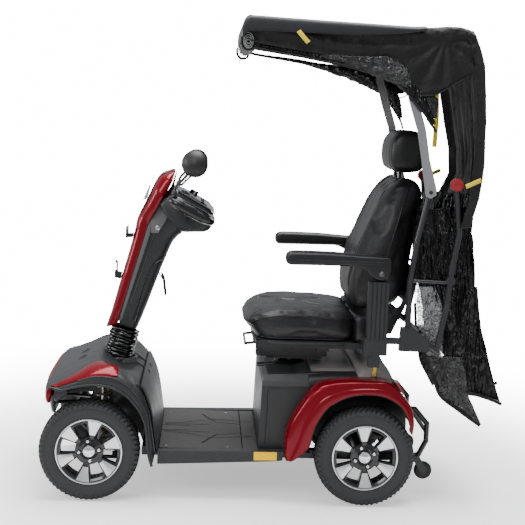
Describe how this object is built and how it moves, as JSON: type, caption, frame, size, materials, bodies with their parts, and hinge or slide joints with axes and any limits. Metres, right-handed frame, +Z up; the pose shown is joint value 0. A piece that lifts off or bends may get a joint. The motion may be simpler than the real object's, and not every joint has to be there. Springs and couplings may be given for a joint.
{
  "type": "mobility scooter",
  "caption": "Four-wheel mobility scooter with tilting tiller, swivel captain seat, flip-up armrests and a seat-mounted folding rain canopy with a rear curtain.",
  "frame": {"origin": "on the ground under the middle of the part's bounding box", "axes": "-X points to the front of the scooter, -Y to its left side, +Z up"},
  "size_m": [1.52, 0.68, 1.576],
  "materials": {
    "frame_black": "satin",
    "deck_plastic": "matte",
    "reflector_amber": "gloss",
    "body_plastic": "matte",
    "body_paint": "gloss",
    "cover_grey": "satin",
    "lamp_red": "gloss",
    "battery_case": "matte",
    "drive_metal": "satin",
    "yellow_plastic": "satin",
    "tyre_rubber": "matte",
    "alloy": "satin",
    "small_wheel": "matte",
    "gaiter": "satin",
    "lamp_clear": "gloss",
    "grip": "satin",
    "lever_plastic": "satin",
    "chrome": "polished",
    "vinyl": "satin",
    "armrest_pad": "satin",
    "canopy_tube": "satin",
    "canopy_arm": "satin",
    "canopy_cloth": "matte"
  },
  "bodies": {
    "base": {"chassis_frame": "frame_black", "floor_deck": "deck_plastic", "side_rails": "deck_plastic", "side_reflectors": "reflector_amber", "front_shroud": "body_plastic", "front_side_panels": "body_paint", "front_bumper": "body_paint", "battery_cover": "body_plastic", "rear_fenders": "body_paint", "rear_top_cover": "cover_grey", "rear_bumper_bar": "frame_black", "tail_lamps": "lamp_red", "batteries": "battery_case", "transaxle": "drive_metal", "front_axle": "frame_black"},
    "freewheel": {"freewheel_lever": "yellow_plastic"},
    "hub_fl": {"knuckle_left": "drive_metal"},
    "hub_fr": {"knuckle_right": "drive_metal"},
    "track_rod": {"tie_rod": "drive_metal"},
    "wheel_fl": {"tyre_fl": "tyre_rubber", "alloy_wheel_fl": "alloy"},
    "wheel_fr": {"tyre_fr": "tyre_rubber", "alloy_wheel_fr": "alloy"},
    "wheel_rl": {"tyre_rl": "tyre_rubber", "alloy_wheel_rl": "alloy"},
    "wheel_rr": {"tyre_rr": "tyre_rubber", "alloy_wheel_rr": "alloy"},
    "tip_left": {"anti_tip_wheel_left": "small_wheel"},
    "tip_right": {"anti_tip_wheel_right": "small_wheel"},
    "column": {"steering_column": "drive_metal"},
    "tiller": {"tiller_post": "frame_black", "tiller_front_cover": "body_paint", "tiller_rear_cover": "body_plastic", "tiller_bellows": "gaiter", "console": "body_plastic", "headlamp": "lamp_clear", "handlebar": "grip", "basket_bracket": "frame_black"},
    "throttle": {"throttle_lever": "lever_plastic"},
    "brake": {"brake_lever": "lever_plastic"},
    "glass_left": {"mirror_left": "lever_plastic"},
    "glass_right": {"mirror_right": "lever_plastic"},
    "dial": {"speed_dial": "lever_plastic"},
    "ignition": {"key": "chrome"},
    "tilt_release": {"tilt_lever": "lever_plastic"},
    "pedestal": {"seat_post": "chrome"},
    "swivel_release": {"swivel_lever": "lever_plastic"},
    "seat": {"seat_base": "frame_black", "seat_cushion": "vinyl", "armrest_posts": "armrest_pad", "canopy_lower_frame": "canopy_tube"},
    "slide_release": {"slide_lever": "lever_plastic"},
    "back": {"backrest_cushion": "vinyl", "backrest_frame": "frame_black"},
    "head": {"headrest": "vinyl"},
    "arm_left": {"armrest_left": "armrest_pad"},
    "arm_right": {"armrest_right": "armrest_pad"},
    "canopy": {"canopy_arms": "canopy_arm", "canopy_roof": "canopy_cloth", "canopy_curtain": "canopy_cloth"}
  },
  "joints": [
    {"name": "steer", "type": "hinge", "parent": "base", "child": "column", "pos_m": [-0.521, 0, 0.452], "axis": [0.2588, 0, 0.9659], "range_deg": [-32, 32]},
    {"name": "kingpin_left", "type": "hinge", "parent": "base", "child": "hub_fl", "pos_m": [-0.594, -0.232, 0.165], "axis": [0, 0, 1], "range_deg": [-32, 32]},
    {"name": "kingpin_right", "type": "hinge", "parent": "base", "child": "hub_fr", "pos_m": [-0.594, 0.232, 0.165], "axis": [0, 0, 1], "range_deg": [-32, 32]},
    {"name": "track_rod_pivot", "type": "hinge", "parent": "hub_fl", "child": "track_rod", "pos_m": [-0.514, -0.232, 0.135], "axis": [0, 0, 1], "range_deg": [-32, 32]},
    {"name": "roll_fl", "type": "hinge", "parent": "hub_fl", "child": "wheel_fl", "pos_m": [-0.594, -0.287, 0.165], "axis": [0, 1, 0], "continuous": true},
    {"name": "roll_fr", "type": "hinge", "parent": "hub_fr", "child": "wheel_fr", "pos_m": [-0.594, 0.287, 0.165], "axis": [0, 1, 0], "continuous": true},
    {"name": "roll_rl", "type": "hinge", "parent": "base", "child": "wheel_rl", "pos_m": [0.311, -0.287, 0.165], "axis": [0, 1, 0], "continuous": true},
    {"name": "roll_rr", "type": "hinge", "parent": "base", "child": "wheel_rr", "pos_m": [0.311, 0.287, 0.165], "axis": [0, 1, 0], "continuous": true},
    {"name": "tip_roll_left", "type": "hinge", "parent": "base", "child": "tip_left", "pos_m": [0.534, -0.176, 0.084], "axis": [0, 1, 0], "continuous": true},
    {"name": "tip_roll_right", "type": "hinge", "parent": "base", "child": "tip_right", "pos_m": [0.534, 0.176, 0.084], "axis": [0, 1, 0], "continuous": true},
    {"name": "freewheel_turn", "type": "hinge", "parent": "base", "child": "freewheel", "pos_m": [0.338, -0.258, 0.432], "axis": [0, 1, 0], "range_deg": [0, 50]},
    {"name": "tiller_tilt", "type": "hinge", "parent": "column", "child": "tiller", "pos_m": [-0.521, 0, 0.452], "axis": [0, 1, 0], "range_deg": [-10, 20], "deforming": ["tiller_bellows"]},
    {"name": "throttle_pull", "type": "hinge", "parent": "tiller", "child": "throttle", "pos_m": [-0.3, 0.15, 0.93], "axis": [0, 0, 1], "range_deg": [-12, 12], "stiffness_Nm_per_rad": 0.6},
    {"name": "brake_pull", "type": "hinge", "parent": "tiller", "child": "brake", "pos_m": [-0.3, -0.15, 0.93], "axis": [0, 0, 1], "range_deg": [0, 12], "stiffness_Nm_per_rad": 0.6},
    {"name": "mirror_turn_left", "type": "hinge", "parent": "tiller", "child": "glass_left", "pos_m": [-0.34, -0.259, 1.01], "axis": [0, 0, 1], "range_deg": [-30, 30]},
    {"name": "mirror_turn_right", "type": "hinge", "parent": "tiller", "child": "glass_right", "pos_m": [-0.34, 0.259, 1.01], "axis": [0, 0, 1], "range_deg": [-30, 30]},
    {"name": "dial_turn", "type": "hinge", "parent": "tiller", "child": "dial", "pos_m": [-0.286, 0.06, 0.9846], "axis": [0.4772, 0, 0.8788], "range_deg": [0, 270]},
    {"name": "key_turn", "type": "hinge", "parent": "tiller", "child": "ignition", "pos_m": [-0.286, -0.06, 0.9846], "axis": [0.4772, 0, 0.8788], "range_deg": [0, 90]},
    {"name": "tilt_release_pull", "type": "hinge", "parent": "tiller", "child": "tilt_release", "pos_m": [-0.3875, 0, 0.7105], "axis": [0, 1, 0], "range_deg": [0, 20], "stiffness_Nm_per_rad": 0.4},
    {"name": "seat_swivel", "type": "hinge", "parent": "base", "child": "pedestal", "pos_m": [0.075, 0, 0.3], "axis": [0, 0, -1], "range_deg": [-90, 90]},
    {"name": "swivel_release_turn", "type": "hinge", "parent": "pedestal", "child": "swivel_release", "pos_m": [0.03, -0.062, 0.448], "axis": [0, 0, 1], "range_deg": [0, 12], "stiffness_Nm_per_rad": 0.8},
    {"name": "seat_slide", "type": "slide", "parent": "pedestal", "child": "seat", "axis": [1, 0, 0], "range_m": [-0.05, 0.05]},
    {"name": "slide_release_lift", "type": "hinge", "parent": "seat", "child": "slide_release", "pos_m": [-0.038, 0, 0.499], "axis": [0, 1, 0], "range_deg": [0, 10], "stiffness_Nm_per_rad": 0.8},
    {"name": "recline", "type": "hinge", "parent": "seat", "child": "back", "pos_m": [0.345, 0, 0.572], "axis": [0, 1, 0], "range_deg": [-5, 5]},
    {"name": "headrest_height", "type": "slide", "parent": "back", "child": "head", "axis": [0, 0, 1], "range_m": [0, 0.06]},
    {"name": "armrest_lift_left", "type": "hinge", "parent": "seat", "child": "arm_left", "pos_m": [0.336, -0.305, 0.778], "axis": [0, 1, 0], "range_deg": [0, 85]},
    {"name": "armrest_lift_right", "type": "hinge", "parent": "seat", "child": "arm_right", "pos_m": [0.336, 0.305, 0.778], "axis": [0, 1, 0], "range_deg": [0, 85]},
    {"name": "canopy_fold", "type": "hinge", "parent": "seat", "child": "canopy", "pos_m": [0.485, 0, 1.045], "axis": [0, 1, 0], "range_deg": [0, 60], "deforming": ["canopy_curtain"]}
  ],
  "couplings": [
    {"joint": "kingpin_left", "follows": "steer", "ratio": 1},
    {"joint": "kingpin_right", "follows": "steer", "ratio": 1},
    {"joint": "track_rod_pivot", "follows": "steer", "ratio": -1}
  ]
}
